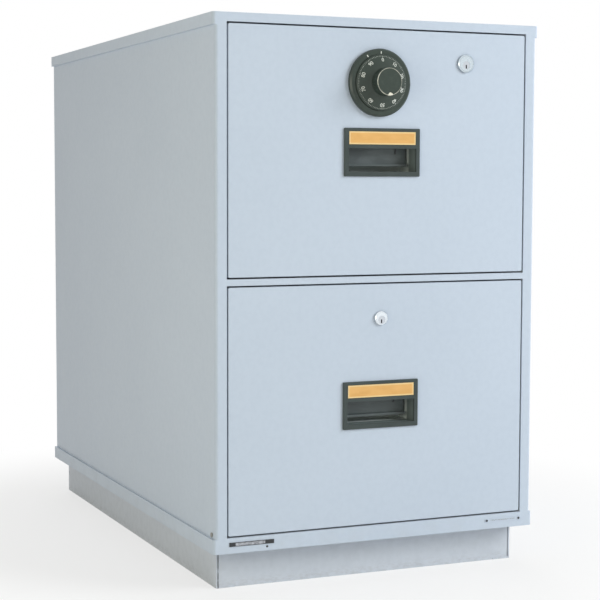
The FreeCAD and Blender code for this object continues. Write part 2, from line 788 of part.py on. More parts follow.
def make_head(level):
    """The insulated head of one drawer: front pan, filling, stepped back pan and seal."""
    sill, head, floor, roof = (level + "_" + word for word in ("sill", "head", "floor", "roof"))
    low, high = sill + " + head_gap", head + " - head_gap"
    handle_z = level + "_handle_z"

    pan = new_body(level + "_front_pan_body", ("0", "front_y", "0"))
    face = sketch(pan, level + "_front_pan_face", "XZ_Plane")
    draw_rectangle(face, "-half_pan", "half_pan", low, high)
    pad(pan, face, level + "_front_pan_pad", "head_depth")
    fillet(pan, level + "_front_pan_corners", "pan_corner_radius",
           lambda box: box.XLength < 0.01 and box.ZLength < 0.01)
    fillet(pan, level + "_front_pan_edges", "pan_edge_radius",
           lambda box: box.YLength < 0.01 and box.YMin < 0.01)
    hollow = sketch(pan, level + "_front_pan_hollow", "XZ_Plane", "-pan_sheet")
    draw_rectangle(hollow, "-half_pan + pan_sheet", "half_pan - pan_sheet",
                   low + " + pan_sheet", high + " - pan_sheet")
    pocket(pan, hollow, level + "_front_pan_hollow_cut", "head_depth")
    cutouts = sketch(pan, level + "_front_pan_cutouts", "XZ_Plane")
    box_half = "handle_box_half + handle_cutout_play"
    draw_rectangle(cutouts, "-(%s)" % box_half, box_half,
                   handle_z + " + handle_rim - handle_cutout_play",
                   handle_z + " + handle_height - handle_rim + handle_cutout_play")
    draw_circle(cutouts, KEY_X[level] if level == "upper" else "0", KEY_Z[level],
                "key_barrel_radius + key_hole_play")
    if level == "upper":
        draw_circle(cutouts, "dial_side", "dial_z", "spindle_hole_radius")
    pocket(pan, cutouts, level + "_front_pan_cutouts_cut", "head_depth")
    node(level + "_front_pan", pan)

    pan_inside = (("-half_pan + pan_sheet", "half_pan - pan_sheet"),
                  (low + " + pan_sheet", high + " - pan_sheet"))
    plug = (("-half_plug", "half_plug"), (floor + " + plug_gap", roof + " - plug_gap"))
    plug_inside = (("-half_plug + liner_sheet", "half_plug - liner_sheet"),
                   (floor + " + plug_gap + liner_sheet", roof + " - plug_gap - liner_sheet"))
    key_z = KEY_Z[level]

    back = joined(level + "_back_pan_form", [
        block(level + "_back_pan_flange", pan_inside[0], ("head_back_y - liner_sheet", "head_back_y"),
              pan_inside[1]),
        block(level + "_back_pan_plug", plug[0], ("head_back_y - liner_sheet", "plug_back_y"), plug[1])])
    hollow_block = block(level + "_back_pan_hollow", plug_inside[0],
                         ("head_back_y - liner_sheet - 1", "plug_back_y - liner_sheet"), plug_inside[1])
    catch_slot = block(level + "_back_pan_catch_slot", catch_hole["x"], catch_hole["y"],
                       (roof + " - plug_gap - liner_sheet - 1", roof + " - plug_gap + 1"))
    back_holes = head_holes(level + "_back_pan", level, "plug_back_y - liner_sheet - 1", "plug_back_y + 1",
                            "key_hole_play")
    back_holes += tray_screw_holes(level + "_back_pan", level, "plug_back_y - liner_sheet - 1",
                                   "plug_back_y + 1")
    node(level + "_back_pan", without(level + "_back_pan_shell", back,
                                      [hollow_block, catch_slot] + back_holes))

    filling = joined(level + "_head_filling_form", [
        block(level + "_head_filling_front", pan_inside[0],
              ("front_y + pan_sheet", "head_back_y - liner_sheet"), pan_inside[1]),
        block(level + "_head_filling_plug", plug_inside[0],
              ("front_y + pan_sheet", "plug_back_y - liner_sheet"), plug_inside[1])])
    handle_room = block(level + "_head_handle_room",
                        ("-(handle_box_half + handle_cutout_play)", "handle_box_half + handle_cutout_play"),
                        ("front_y", "front_y + handle_depth + handle_cutout_play"),
                        (handle_z + " + handle_rim - handle_cutout_play",
                         handle_z + " + handle_height - handle_rim + handle_cutout_play"))
    catch_room = block(level + "_head_catch_room",
                       ("lever_arm_side - catch_width / 2 - catch_loop_wall",
                        "lever_arm_side + catch_width / 2 + catch_loop_wall"),
                       ("front_y + handle_depth - 1", "catch_back_y + 2 * catch_play"),
                       (handle_z + " + lever_axis_rise - 2 * catch_loop_wall - lever_tip_radius",
                        roof + " - plug_gap"))
    barrel_room = rod(level + "_head_barrel_room", "y", (KEY_X[level], "front_y", key_z),
                      "key_barrel_radius + key_hole_play", "key_barrel_length + key_hole_play")
    passages = head_holes(level + "_head_filling", level, "front_y", "plug_back_y", "key_hole_play")
    passages += tray_screw_holes(level + "_head_filling", level, "plug_back_y - tray_screw_reach - 1",
                                 "plug_back_y")
    node(level + "_head_insulation", without(
        level + "_head_filling", filling, [handle_room, catch_room, barrel_room] + passages))

    seal_outer = block(level + "_seal_outer", ("-(half_pan - seal_inset)", "half_pan - seal_inset"),
                       ("head_back_y", "shoulder_y - seal_play"),
                       (low + " + seal_inset", high + " - seal_inset"))
    seal_inner = block(level + "_seal_inner",
                       ("-(half_pan - seal_inset - seal_width)", "half_pan - seal_inset - seal_width"),
                       ("head_back_y - 1", "shoulder_y + 1"),
                       (low + " + seal_inset + seal_width", high + " - seal_inset - seal_width"))
    node(level + "_seal", without(level + "_seal_ring", seal_outer, [seal_inner]))


def make_tray(level):
    """The open steel drawer behind the head, its screws and its slide members."""
    floor, roof = level + "_floor", level + "_roof"
    low, high = floor + " + tray_floor_gap", roof + " - tray_top_gap"
    depth = ("plug_back_y", "tray_back_y")
    shell = block(level + "_tray_outside", ("-half_tray", "half_tray"), depth, (low, high))
    inside = block(level + "_tray_inside", ("-half_tray + tray_sheet", "half_tray - tray_sheet"),
                   ("plug_back_y + tray_sheet", "tray_back_y - tray_sheet"),
                   (low + " + tray_sheet", high + " - tray_sheet"))
    mouth = block(level + "_tray_mouth", ("-half_tray + tray_hem", "half_tray - tray_hem"),
                  ("plug_back_y + tray_sheet", "tray_back_y - tray_hem"),
                  (high + " - tray_sheet - 1", high + " + 1"))
    front_gap = block(level + "_tray_front_gap", ("-half_tray + tray_hem", "half_tray - tray_hem"),
                      ("plug_back_y - 1", "plug_back_y + tray_sheet + 1"),
                      (level + "_head - tray_front_drop", high + " + 1"))
    holes = tray_screw_holes(level + "_tray", level, "plug_back_y - 1", "plug_back_y + tray_sheet + 1")
    node(level + "_tray", without(level + "_tray_shell", shell, [inside, mouth, front_gap] + holes))

    screws = []
    for number, (x, z) in enumerate(tray_screw_places(level)):
        name = "%s_tray_screw_%d" % (level, number)
        screws.append(joined(name, [
            rod(name + "_head", "y", (x, "plug_back_y + tray_sheet", z),
                "tray_screw_head", "tray_screw_head_height"),
            rod(name + "_shank", "y", (x, "plug_back_y - tray_screw_reach", z),
                "tray_screw_radius", "tray_screw_reach + tray_sheet")]))
    node(level + "_tray_screws", group(level + "_tray_screw_set", screws))
    node(level + "_inner_slides", slide_pair(level + "_inner_slide", level, "inner"))


def make_handle(level):
    """The moulded handle housing, its label card, the latch lever with its spring, and the catch."""
    roof = level + "_roof"
    base_z = level + "_handle_z"
    axis_z = base_z + " + lever_axis_rise"

    housing = new_body(level + "_handle_body", ("0", "front_y", base_z))
    rim = sketch(housing, level + "_handle_rim", "XZ_Plane", "handle_proud")
    draw_rectangle(rim, "-handle_width / 2", "handle_width / 2", "0", "handle_height")
    pad(housing, rim, level + "_handle_rim_pad", "handle_proud")
    proud = value_of("handle_proud")
    fillet(housing, level + "_handle_rim_round", "handle_edge_radius",
           lambda box: box.YMin < 0.01 - proud)
    shell = sketch(housing, level + "_handle_box", "XZ_Plane")
    draw_rectangle(shell, "-handle_box_half", "handle_box_half", "handle_rim", "handle_height - handle_rim")
    pad(housing, shell, level + "_handle_box_pad", "handle_depth")
    grip = sketch(housing, level + "_handle_grip", "XZ_Plane", "handle_proud")
    draw_rectangle(grip, "-grip_half_width", "grip_half_width", "grip_floor + handle_wall", "grip_roof")
    pocket(housing, grip, level + "_handle_grip_cut", "handle_proud + handle_depth - handle_back")
    hinge_room = sketch(housing, level + "_handle_hinge_room", "XZ_Plane", "-hinge_room_front")
    draw_rectangle(hinge_room, "-grip_half_width", "grip_half_width", "grip_roof - 1", "hinge_room_roof")
    pocket(housing, hinge_room, level + "_handle_hinge_room_cut",
           "handle_depth - handle_back - hinge_room_front")
    window = sketch(housing, level + "_handle_window", "XZ_Plane", "handle_proud")
    draw_rectangle(window, "-half_label", "half_label", "label_low", "label_high")
    pocket(housing, window, level + "_handle_window_cut", "label_pocket")
    arm_slot = sketch(housing, level + "_handle_arm_slot", "XZ_Plane", "-(handle_depth - handle_back - 1)")
    draw_rectangle(arm_slot, "lever_arm_side - lever_arm_width / 2 - 1",
                   "lever_arm_side + lever_arm_width / 2 + 1",
                   "lever_axis_rise - lever_tip_radius - 1", "lever_axis_rise + 2 * lever_arm_thickness + 1")
    pocket(housing, arm_slot, level + "_handle_arm_slot_cut", "handle_back + 2")
    bearings = sketch(housing, level + "_handle_bearings", "YZ_Plane")
    draw_circle(bearings, "lever_axis_depth", "lever_axis_rise", "lever_trunnion_radius + trunnion_play")
    pocket(housing, bearings, level + "_handle_bearings_cut", "handle_width", middle=True)
    node(level + "_handle_housing", housing)

    card_y = "front_y - handle_proud + label_pocket"
    node(level + "_label_card", block(
        level + "_label_card_sheet",
        ("-half_label + label_play", "half_label - label_play"),
        (card_y + " - label_thickness", card_y),
        (base_z + " + label_low + label_play", base_z + " + label_high - label_play")))

    trunnion_end = "handle_box_half - trunnion_play"
    lever_form = joined(level + "_lever_form", [
        rod(level + "_lever_hub", "x", ("-half_lever", "lever_y", axis_z),
            "lever_hub_radius", "2 * half_lever"),
        rod(level + "_lever_trunnions", "x", ("-(%s)" % trunnion_end, "lever_y", axis_z),
            "lever_trunnion_radius", "2 * (%s)" % trunnion_end),
        block(level + "_lever_plate", ("-half_lever", "half_lever"),
              ("lever_y - lever_plate / 2", "lever_y + lever_plate / 2"),
              (base_z + " + lever_foot", axis_z)),
        block(level + "_lever_lip", ("-half_lever", "half_lever"),
              ("lever_y - lever_plate / 2 - lever_lip", "lever_y"),
              (base_z + " + lever_foot", base_z + " + lever_foot + lever_plate")),
        block(level + "_lever_arm",
              ("lever_arm_side - lever_arm_width / 2", "lever_arm_side + lever_arm_width / 2"),
              ("lever_y", "catch_y"),
              (axis_z + " - lever_arm_thickness / 2", axis_z + " + lever_arm_thickness / 2")),
        rod(level + "_lever_tip", "x", ("lever_arm_side - lever_arm_width / 2", "catch_y", axis_z),
            "lever_tip_radius", "lever_arm_width")])
    coil_run = "spring_coils * (2 * spring_wire_radius + spring_coil_gap)"
    coil_reach = "lever_hub_radius + spring_play + 2 * spring_wire_radius + spring_play"
    notch = block(level + "_lever_notch",
                  ("spring_side - spring_notch", "spring_side + %s + spring_notch" % coil_run),
                  ("lever_y - lever_plate", "lever_y + lever_plate"),
                  (axis_z + " - (%s)" % coil_reach, axis_z))
    hub = rod(level + "_lever_hub_kept", "x", ("-half_lever", "lever_y", axis_z),
              "lever_hub_radius", "2 * half_lever")
    node(level + "_latch_lever", without(level + "_lever_notched", lever_form,
                                         [without(level + "_lever_notch_form", notch, [hub])]))

    nose_top = roof + " - plug_gap - catch_draw"
    loop_half = "lever_tip_radius + catch_play + catch_loop_wall"
    catch = new_body(level + "_catch_body", ("lever_arm_side", "catch_y", axis_z))
    side_view = sketch(catch, level + "_catch_side", "YZ_Plane")
    top = "%s - (%s)" % (nose_top, axis_z)
    draw_outline(side_view, [
        ("-catch_depth / 2", "-(%s)" % loop_half), ("catch_depth / 2", "-(%s)" % loop_half),
        ("catch_depth / 2", top + " - catch_ramp"), ("catch_depth / 2 - catch_ramp", top),
        ("-catch_depth / 2", top)])
    pad(catch, side_view, level + "_catch_pad", "catch_width", middle=True)
    window = sketch(catch, level + "_catch_window", "XZ_Plane", "catch_depth")
    draw_rectangle(window, "-lever_arm_width / 2 - catch_play", "lever_arm_width / 2 + catch_play",
                   "-(lever_tip_radius + catch_play)", "lever_tip_radius + catch_play")
    pocket(catch, window, level + "_catch_window_cut", "2 * catch_depth")
    node(level + "_catch", catch)


def spring_shape(place):
    """A torsion spring round the lever's hub. One leg bears on the front of the lever and the
    other on the roof of the hinge room."""
    wire = value_of("spring_wire_radius")
    turns = int(value_of("spring_coils"))
    radius = value_of("lever_hub_radius + spring_play") + wire
    pitch = value_of("2 * spring_wire_radius + spring_coil_gap")
    helix = Part.makeHelix(pitch, pitch * turns, radius)
    first, last = helix.Vertexes[0].Point, helix.Vertexes[-1].Point
    roof_end = first - FreeCAD.Vector(0, value_of("spring_roof_leg"), 0)
    lever_end = last + FreeCAD.Vector(0, value_of("spring_lever_leg"), 0)
    path = Part.Wire([Part.makeLine(roof_end, first)] + helix.Edges + [Part.makeLine(last, lever_end)])
    section = Part.Wire(Part.makeCircle(wire, roof_end, FreeCAD.Vector(0, 1, 0)))
    solid = path.makePipeShell([section], True, True)
    solid.rotate(FreeCAD.Vector(), FreeCAD.Vector(0, 1, 0), 90)
    solid.rotate(FreeCAD.Vector(), FreeCAD.Vector(1, 0, 0), value_of("spring_lean") - 90)
    solid.translate(place)
    return solid


def make_key_lock(level):
    """The barrel and the turning plug of one key lock. The plug carries the locking cam.

    The plug turns below the middle of the barrel, which leaves room above it for the pins.
    """
    ring = level + "_key_ring"
    barrel = turned(level + "_lock_barrel_body", [
        ("0", "-key_ring_proud"), (ring + " - key_ring_bevel", "-key_ring_proud"),
        (ring, "-key_ring_proud + key_ring_bevel"), (ring, "0"), ("key_barrel_radius", "0"),
        ("key_barrel_radius", "key_barrel_length"), ("0", "key_barrel_length")],
        (KEY_X[level], "front_y", KEY_Z[level]))
    bore = rod(level + "_lock_barrel_bore", "y",
               (KEY_X[level], "front_y - key_ring_proud - 1", PLUG_Z[level]),
               "key_plug_radius + key_plug_play", "key_ring_proud + key_barrel_length + 2")
    node(level + "_lock_barrel", without(level + "_lock_barrel_form", barrel, [bore]))

    cam_front = "head_depth + plug_depth + cam_set_back"
    face = "-key_ring_proud + key_plug_set_back"
    plug = turned(level + "_key_plug_body", [
        ("0", face), ("key_plug_radius", face), ("key_plug_radius", "key_barrel_length"),
        ("key_shaft_radius", "key_barrel_length"), ("key_shaft_radius", cam_front),
        ("cam_hub_radius", cam_front), ("cam_hub_radius", cam_front + " + cam_thickness"),
        ("0", cam_front + " + cam_thickness")], (KEY_X[level], "front_y", PLUG_Z[level]))
    keyway = block(level + "_keyway",
                   (KEY_X[level] + " - keyway_width / 2", KEY_X[level] + " + keyway_width / 2"),
                   ("front_y - key_ring_proud", "front_y - key_ring_proud + keyway_depth"),
                   (PLUG_Z[level] + " + keyway_rise - keyway_height", PLUG_Z[level] + " + keyway_rise"))
    reach = "%s_roof - cam_roof_gap - %s" % (level, PLUG_Z[level])
    arm = block(level + "_cam_arm", ("%s - (%s)" % (KEY_X[level], reach), KEY_X[level]),
                ("front_y + " + cam_front, "front_y + %s + cam_thickness" % cam_front),
                (PLUG_Z[level] + " - cam_half_width", PLUG_Z[level] + " + cam_half_width"))
    solid = joined(level + "_key_plug_form", [plug, arm])
    node(level + "_key_plug", without(level + "_key_plug_cut", solid, [keyway]))


for level in ("upper", "lower"):
    make_head(level)
    make_tray(level)
    make_handle(level)
    make_key_lock(level)
document.recompute()

for level in ("upper", "lower"):
    spring = document.addObject("Part::Feature", level + "_lever_spring_wire")
    middle = FreeCAD.Vector(value_of("spring_side"), value_of("lever_y"),
                            value_of(level + "_handle_z + lever_axis_rise"))
    spring.Shape = spring_shape(middle)
    node(level + "_lever_spring", spring)

# Combination lock of the upper drawer: ring, dial with its knob, spindle with the drive cam,
# case and cover, three wheels on the cover's post, and the bolt with its lever

dial_place = ("dial_side", "front_y", "dial_z")
node("dial_ring", turned("dial_ring_body", [
    ("spindle_hole_radius", "0"), ("dial_ring_radius", "0"),
    ("dial_ring_radius", "-dial_ring_height + dial_ring_bevel"),
    ("dial_ring_radius - dial_ring_bevel", "-dial_ring_height"),
    ("dial_well_radius", "-dial_ring_height"), ("dial_well_radius", "-dial_ring_floor"),
    ("spindle_hole_radius", "-dial_ring_floor")], dial_place))

dial_back = "-dial_ring_floor - dial_play"
node("combination_dial", turned("combination_dial_body", [
    ("0", "-dial_reach"), ("knob_radius - knob_edge", "-dial_reach"),
    ("knob_radius", "-dial_reach + knob_edge"), ("knob_radius", "-dial_neck_height - knob_foot"),
    ("dial_neck_radius", "-dial_neck_height"),
    ("dial_well_radius - dial_play - dial_rim_bevel", dial_back + " - dial_rim_height - knob_foot"),
    ("dial_well_radius - dial_play", dial_back + " - dial_rim_height"),
    ("dial_well_radius - dial_play", dial_back), ("0", dial_back)], dial_place))

cam_front = "head_depth + plug_depth + drive_cam_start"
spindle = turned("dial_spindle_body", [
    ("0", dial_back), ("spindle_radius", dial_back), ("spindle_radius", cam_front),
    ("drive_cam_radius", cam_front), ("drive_cam_radius", cam_front + " + drive_cam_thickness"),
    ("0", cam_front + " + drive_cam_thickness")], dial_place)
cam_gate = block("drive_cam_gate_block",
                 ("dial_side - drive_cam_gate / 2", "dial_side + drive_cam_gate / 2"),
                 ("front_y + " + cam_front + " - 1", "front_y + %s + drive_cam_thickness + 1" % cam_front),
                 ("dial_z + drive_cam_radius - drive_cam_gate", "dial_z + drive_cam_radius + 1"))
node("dial_spindle", without("dial_spindle_form", spindle, [cam_gate]))

case_x = ("dial_side - case_half_width", "dial_side + case_half_width")
case_z = ("dial_z - case_below_dial", "case_top")
case_outside = block("lock_case_outside", case_x, ("plug_back_y", "case_back_y"), case_z)
case_inside = block("lock_case_inside", (case_x[0] + " + case_wall", case_x[1] + " - case_wall"),
                    ("plug_back_y + case_wall", "case_back_y + 1"),
                    (case_z[0] + " + case_wall", case_z[1] + " - case_wall"))
case_bore = rod("lock_case_bore", "y", ("dial_side", "plug_back_y - 1", "dial_z"),
                "spindle_radius + spindle_play", "case_wall + 2")
case_slot = block("lock_case_slot",
                  ("dial_side - lock_bolt_half_width - lock_bolt_play",
                   "dial_side + lock_bolt_half_width + lock_bolt_play"),
                  ("lock_bolt_front_y - lock_bolt_play", "lock_bolt_back_y + lock_bolt_play"),
                  ("case_top - case_wall - 1", "case_top + 1"))
node("lock_case", without("lock_case_shell", case_outside, [case_inside, case_bore, case_slot]))

wheel_post = rod("lock_cover_post", "y", ("dial_side", "plug_back_y + wheel_post_start", "dial_z"),
                 "wheel_post_radius", "case_depth - wheel_post_start")
cover_plate = block("lock_cover_plate", case_x, ("case_back_y", "case_back_y + cover_thickness"), case_z)
node("lock_cover", joined("lock_cover_form", [cover_plate, wheel_post]))

for number, name in enumerate(("wheel_one", "wheel_two", "wheel_three")):
    start = "plug_back_y + wheel_start + %d * wheel_pitch" % number
    wheel = new_body(name + "_body", ("dial_side", start, "dial_z"))
    disc = sketch(wheel, name + "_disc", "XZ_Plane")
    draw_circle(disc, "0", "0", "wheel_radius")
    draw_circle(disc, "0", "0", "wheel_post_radius + wheel_play")
    pad(wheel, disc, name + "_pad", "wheel_thickness")
    gate = sketch(wheel, name + "_gate", "XZ_Plane")
    draw_rectangle(gate, "-wheel_gate_width / 2", "wheel_gate_width / 2",
                   "wheel_radius - wheel_gate_depth", "wheel_radius + 1")
    pocket(wheel, gate, name + "_gate_cut", "wheel_thickness")
    node(name, wheel)

bolt_bar = block("lock_bolt_bar",
                 ("dial_side - lock_bolt_half_width", "dial_side + lock_bolt_half_width"),
                 ("lock_bolt_front_y", "lock_bolt_back_y"),
                 ("dial_z + drive_cam_radius + 2", "case_top"))
node("lock_bolt", bolt_bar)
fence_z = ("fence_low", "fence_low + fence_height")
node("lock_lever", joined("lock_lever_form", [
    block("lock_lever_arm", ("dial_side - lock_lever_left", "dial_side + lock_lever_right"),
          ("lock_bolt_back_y", "lock_bolt_back_y + lock_lever_thickness"), fence_z),
    block("lock_lever_fence", ("dial_side - fence_half_width", "dial_side + fence_half_width"),
          ("lock_bolt_back_y", "wheels_back_y"), fence_z)]))

document.recompute()

# Every object has to be sound before anything is written.

for item in document.Objects:
    if "Invalid" in item.State or "Error" in item.State:
        raise RuntimeError("%s did not build: %s" % (item.Name, item.State))
for item in nodes:
    if item.Shape.isNull() or not item.Shape.isValid():
        raise RuntimeError("%s has no valid shape" % item.Label)

os.makedirs("parts", exist_ok=True)
for item in nodes:
    item.Shape.exportStep(os.path.join("parts", item.Label + ".step"))
print(len(nodes), "sub-parts written")
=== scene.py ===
import math

import bmesh
import bpy
from mathutils import Euler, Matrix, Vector


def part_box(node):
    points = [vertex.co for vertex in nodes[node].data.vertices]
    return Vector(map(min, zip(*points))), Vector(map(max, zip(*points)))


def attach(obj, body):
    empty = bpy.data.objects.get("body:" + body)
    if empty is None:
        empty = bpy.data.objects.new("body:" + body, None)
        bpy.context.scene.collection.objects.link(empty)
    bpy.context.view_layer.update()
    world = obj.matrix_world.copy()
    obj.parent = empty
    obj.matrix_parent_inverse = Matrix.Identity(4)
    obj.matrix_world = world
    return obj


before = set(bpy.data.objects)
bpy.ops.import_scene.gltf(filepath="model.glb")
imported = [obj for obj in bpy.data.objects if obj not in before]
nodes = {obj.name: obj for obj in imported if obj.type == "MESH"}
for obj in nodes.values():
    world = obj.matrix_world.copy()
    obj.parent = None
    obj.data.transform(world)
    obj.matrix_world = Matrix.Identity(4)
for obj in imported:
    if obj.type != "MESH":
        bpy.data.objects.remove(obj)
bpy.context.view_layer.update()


# Outer shell of the cabinet: cap, bottom tray, two sides, back and front frame.
# Folded sheet steel, welded and ground smooth, then powder coated in a pale blue grey.

class Socket:
    """An output socket. Arithmetic on it adds Math nodes to its material."""

    def __init__(self, finish, socket):
        self.finish = finish
        self.socket = socket

    def math(self, operation, first, second):
        return self.finish.node("ShaderNodeMath", {"operation": operation}, {0: first, 1: second})

    def __add__(self, other):
        return self.math("ADD", self, other)

    def __sub__(self, other):
        return self.math("SUBTRACT", self, other)

    def __rsub__(self, other):
        return self.math("SUBTRACT", other, self)

    def __mul__(self, other):
        return self.math("MULTIPLY", self, other)

    def __pow__(self, other):
        return self.math("POWER", self, other)

    def __abs__(self):
        return self.finish.node("ShaderNodeMath", {"operation": "ABSOLUTE"}, {0: self})

    __radd__ = __add__
    __rmul__ = __mul__


class Finish:
    """A material with one main shader. Plain values go straight on the shader's sockets."""

    def __init__(self, name, **plain):
        self.material = bpy.data.materials.new(name)
        self.material.use_nodes = True
        self.tree = self.material.node_tree
        self.shader = self.tree.nodes["Principled BSDF"]
        for socket, value in plain.items():
            self.shader.inputs[socket.replace("_", " ")].default_value = value
        self.place = self.node("ShaderNodeTexCoord", {}, {}, "Object")

    def node(self, kind, settings, inputs, output=0):
        """Adds a node: its settings first, then the values or links of its sockets."""
        made = self.tree.nodes.new(kind)
        for name, value in settings.items():
            setattr(made, name, value)
        for key, value in inputs.items():
            if isinstance(value, Socket):
                self.tree.links.new(value.socket, made.inputs[key])
            else:
                made.inputs[key].default_value = value
        return Socket(self, made.outputs[output])

    def feed(self, name, value):
        self.tree.links.new(value.socket, self.shader.inputs[name])

    def grain(self, scale, detail=2.0, stretch=(1.0, 1.0, 1.0)):
        """Noise in the object's own metres, from 0 to 1, with scale cells in a metre."""
        place = self.node("ShaderNodeVectorMath", {"operation": "MULTIPLY"},
                          {0: self.place, 1: stretch})
        return self.node("ShaderNodeTexNoise", {},
                         {"Vector": place, "Scale": scale, "Detail": detail})

    def ramp(self, value, low, high):
        """0 below low, 1 above high, and smooth between."""
        return self.node("ShaderNodeMapRange", {"interpolation_type": "SMOOTHSTEP"},
                         {"Value": value, "From Min": low, "From Max": high})

    def axis(self, letter):
        return self.node("ShaderNodeSeparateXYZ", {}, {"Vector": self.place}, letter)

    def mix(self, mask, first, second):
        """The first colour where mask is 0 and the second where it is 1."""
        return self.node("ShaderNodeMix", {"data_type": "RGBA"},
                         {0: mask, 6: first, 7: second}, 2)

    def bump(self, height, depth, strength=1.0):
        self.feed("Normal", self.node("ShaderNodeBump", {}, {
            "Height": height, "Distance": depth, "Strength": strength}))


def rgb(red, green, blue):
    return (red, green, blue, 1.0)


def dress(finish, *names):
    """Puts a finish on CAD nodes."""
    for name in names:
        for slot in nodes[name].material_slots:
            slot.material = finish.material


def powder_coat(name, tone, shade, roughness):
    """Powder coat: a fine orange peel, a faint drift of tone and a light film of dust low down."""
    coat = Finish(name, IOR=1.47)
    drift = coat.ramp(coat.grain(5.0, 3.0), 0.35, 0.7)
    mottle = coat.ramp(coat.grain(130.0, 3.0), 0.38, 0.66)
    body = coat.mix(drift * 0.45 + mottle * 0.45, tone, shade)
    dust_height = 0.09
    dust = ((1.0 - coat.ramp(coat.axis("Z"), 0.0, dust_height))
            * coat.ramp(coat.grain(40.0, 4.0), 0.4, 0.75))
    coat.feed("Base Color", coat.mix(dust * 0.35, body, rgb(0.42, 0.42, 0.40)))
    coat.feed("Roughness", roughness + 0.14 * coat.grain(60.0, 3.0) + 0.12 * dust)
    coat.bump(coat.grain(620.0, 2.0), 0.00012, 0.35)
    return coat


cabinet_paint = powder_coat("cabinet_powder_coat",
                            rgb(0.555, 0.630, 0.735), rgb(0.525, 0.600, 0.705), 0.36)
dress(cabinet_paint, "top_cap", "bottom_tray", "left_side_panel", "right_side_panel",
      "back_panel", "front_frame")


# Plinth: four folded steel channels bolted under the bottom tray.
# Coated like the body but greyer, darker in patches along the foot, with painted shade in the left
# front joint. Zinc-plated bolts hold them.

plinth_paint = Finish("plinth_powder_coat", IOR=1.46)
# Darker in patches along the foot.
foot_darkening_height = 0.016
foot_darkening = ((1.0 - plinth_paint.ramp(plinth_paint.axis("Z"), 0.001, foot_darkening_height))
         * plinth_paint.ramp(plinth_paint.grain(420.0, 5.0, (0.4, 0.4, 1.0)), 0.40, 0.70))
plinth_tone = plinth_paint.mix(plinth_paint.ramp(plinth_paint.grain(90.0, 3.0), 0.35, 0.68),
                               rgb(0.600, 0.640, 0.705), rgb(0.570, 0.610, 0.672))
joint_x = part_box("plinth_front_rail")[0].x
# Painted shade: a dark line down the left front joint of the rails, where the gap is in shadow.
joint_painted_shade = (plinth_paint.ramp(plinth_paint.axis("X"), joint_x - 0.0016, joint_x - 0.0008)
         * (1.0 - plinth_paint.ramp(plinth_paint.axis("X"), joint_x + 0.0002, joint_x + 0.0010))
         * plinth_paint.ramp(plinth_paint.grain(160.0, 3.0), 0.20, 0.50))
foot_darkened_tone = plinth_paint.mix(foot_darkening * 0.4, plinth_tone, rgb(0.43, 0.44, 0.46))
plinth_paint.feed("Base Color", plinth_paint.mix(joint_painted_shade * 0.9, foot_darkened_tone,
                                                 rgb(0.13, 0.14, 0.16)))
plinth_paint.feed("Roughness", 0.44 + 0.16 * plinth_paint.grain(50.0, 3.0) + 0.1 * foot_darkening)
plinth_paint.bump(plinth_paint.grain(620.0, 2.0), 0.00012, 0.35)
dress(plinth_paint, "plinth_front_rail", "plinth_back_rail", "plinth_left_rail",
      "plinth_right_rail")

zinc = Finish("zinc_plated_steel", Metallic=1.0)
bloom = zinc.ramp(zinc.grain(160.0, 4.0), 0.35, 0.7)
zinc.feed("Base Color", zinc.mix(bloom, rgb(0.52, 0.53, 0.54), rgb(0.40, 0.41, 0.41)))
zinc.feed("Roughness", 0.28 + 0.2 * bloom)
zinc.bump(zinc.grain(900.0, 2.0), 0.00005, 0.3)
dress(zinc, "plinth_bolts")


# Compartments: a stepped steel liner for each drawer, coated light grey, with the poured mineral
# filling round it, which only shows through the small slots for the latches.

liner_paint = powder_coat("liner_powder_coat", rgb(0.50, 0.53, 0.56), rgb(0.46, 0.49, 0.52), 0.42)
dress(liner_paint, "upper_liner", "lower_liner")

mineral = Finish("cast_mineral_filling", Roughness=0.95)
pores = mineral.ramp(mineral.grain(300.0, 5.0), 0.55, 0.68)
mineral.feed("Base Color", mineral.mix(pores, rgb(0.66, 0.63, 0.57), rgb(0.42, 0.39, 0.34)))
mineral.bump(1.0 - pores, 0.0006, 0.8)
dress(mineral, "cabinet_insulation", "upper_head_insulation", "lower_head_insulation")


# Telescopic slides: three nested channels on each side of each drawer.
# Rolled strip with a bright zinc plating that shows the rolling direction along its length.

slide_zinc = Finish("rolled_zinc_strip", Metallic=1.0)
rolled = slide_zinc.grain(260.0, 3.0, (1.0, 0.02, 1.0))
slide_zinc.feed("Base Color", slide_zinc.mix(rolled, rgb(0.50, 0.51, 0.53), rgb(0.36, 0.37, 0.38)))
slide_zinc.feed("Roughness", 0.22 + 0.25 * rolled)
slide_zinc.bump(rolled, 0.00004, 0.5)
for level in ("upper", "lower"):
    dress(slide_zinc, *["%s_%s_slides" % (level, member)
                        for member in ("outer", "middle", "inner")])


# Drawer heads: a formed steel front coated like the body, a stepped back pan behind it,
# and a black heat seal that presses on the shoulder of the compartment.

dress(cabinet_paint, "upper_front_pan", "lower_front_pan")
dress(liner_paint, "upper_back_pan", "lower_back_pan")

seal_rubber = Finish("heat_seal_rubber", Roughness=0.8)
seal_rubber.feed("Base Color", seal_rubber.mix(seal_rubber.grain(90.0, 3.0),
                                               rgb(0.020, 0.020, 0.020), rgb(0.042, 0.042, 0.040)))
seal_rubber.bump(seal_rubber.grain(500.0, 3.0), 0.0002, 0.5)
dress(seal_rubber, "upper_seal", "lower_seal")


# Trays: folded steel boxes on the slides, coated like the liners and held to the heads by four
# zinc-plated screws each. The keepers on the compartment roofs are plated too.

dress(liner_paint, "upper_tray", "lower_tray")
dress(zinc, "upper_tray_screws", "lower_tray_screws", "lock_keepers")
